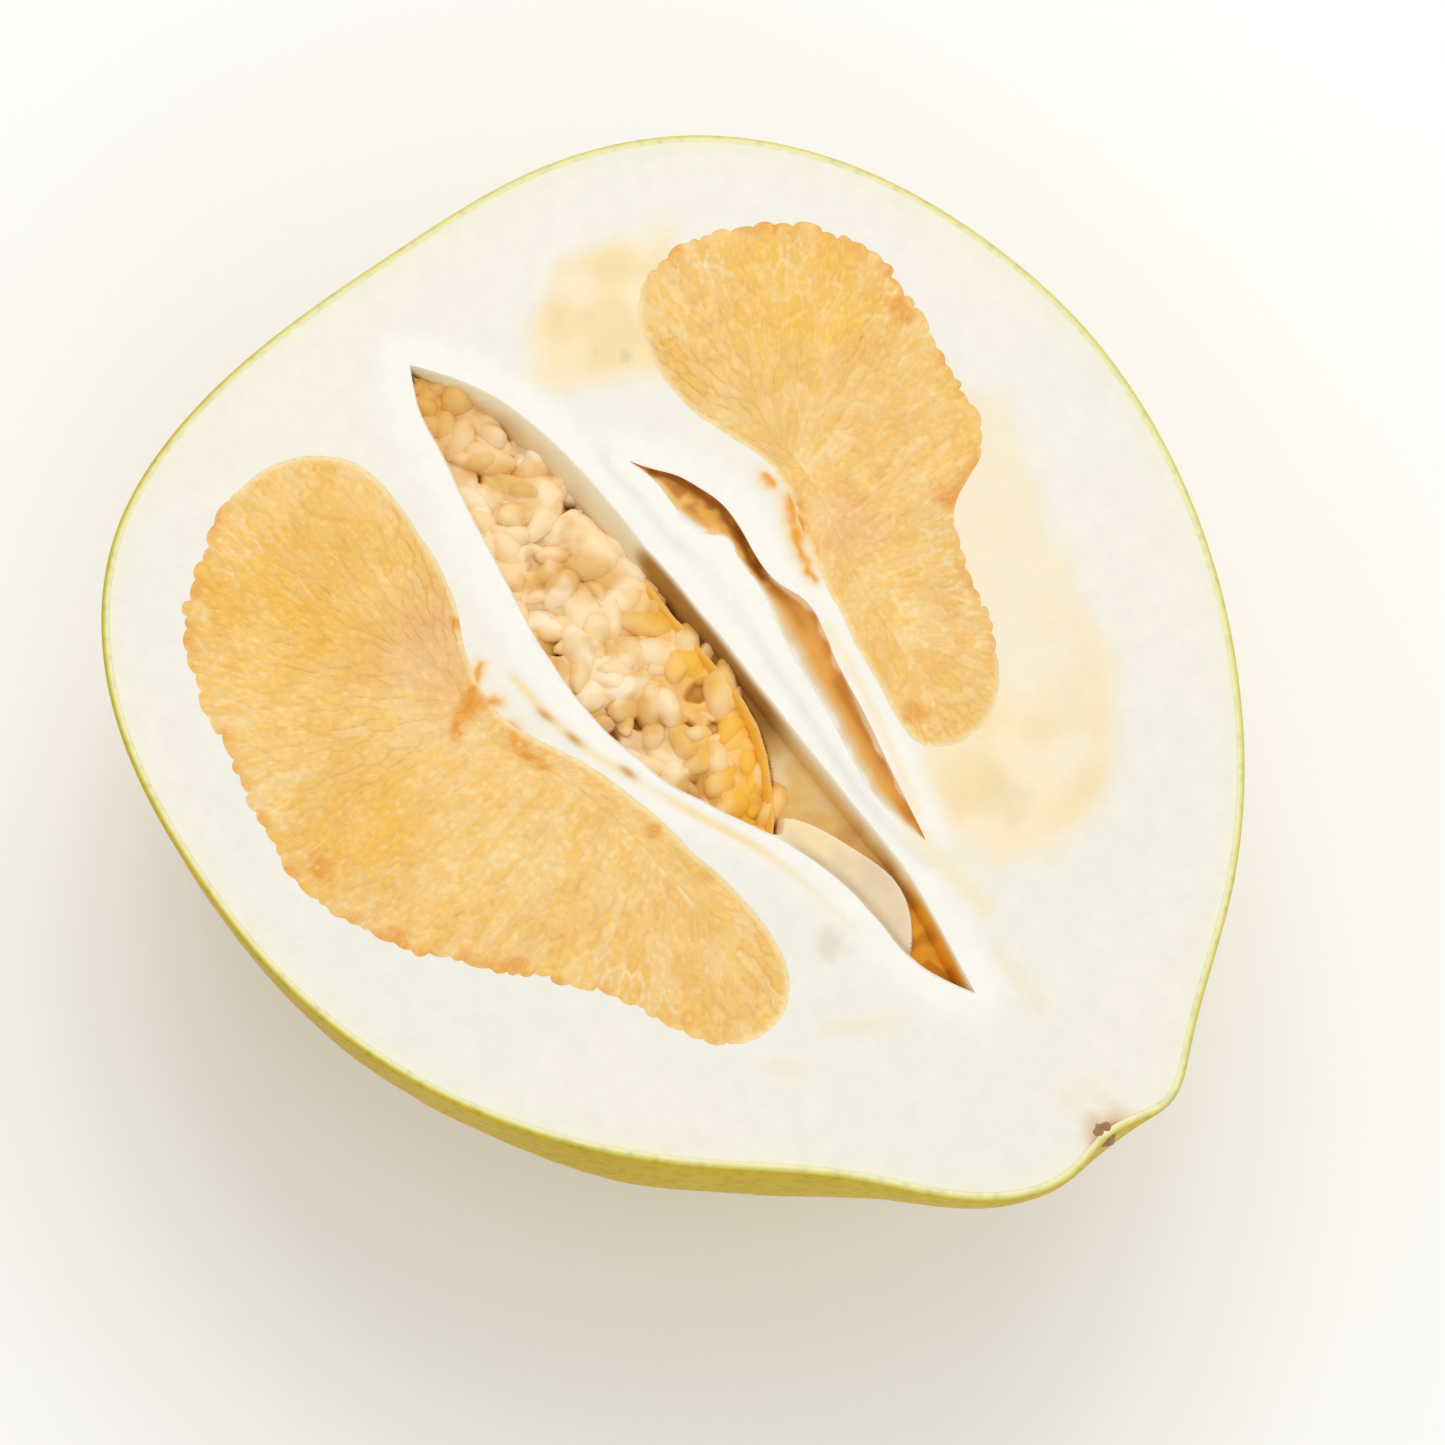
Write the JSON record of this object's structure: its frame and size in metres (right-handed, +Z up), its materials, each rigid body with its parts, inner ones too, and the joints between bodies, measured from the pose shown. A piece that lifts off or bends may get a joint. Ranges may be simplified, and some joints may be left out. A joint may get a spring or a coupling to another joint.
{
  "type": "pomelo half",
  "caption": "Half of a citrus fruit cut lengthwise, lying cut face up, with thick white pith, two pale pulp segments, an open core and a thin rind.",
  "frame": {"origin": "on the surface the half rests on, below the middle of its outline seen from above", "axes": "+X along the fruit's axis to the stem end, +Z up out of the cut face, +Y across the cut"},
  "size_m": [0.166, 0.1509, 0.0743],
  "materials": {
    "rind": "waxy, finely pitted, yellow green",
    "pith": "matte, spongy, warm white",
    "pulp": "moist, pale peach",
    "loose_sacs": "moist, beige",
    "stem_stub": "dry, dull brown"
  },
  "bodies": {
    "root": {"rind": "rind", "pith": "pith", "pulp_large": "pulp", "pulp_small": "pulp", "loose_sacs": "loose_sacs", "stem_stub": "stem_stub"}
  },
  "joints": []
}
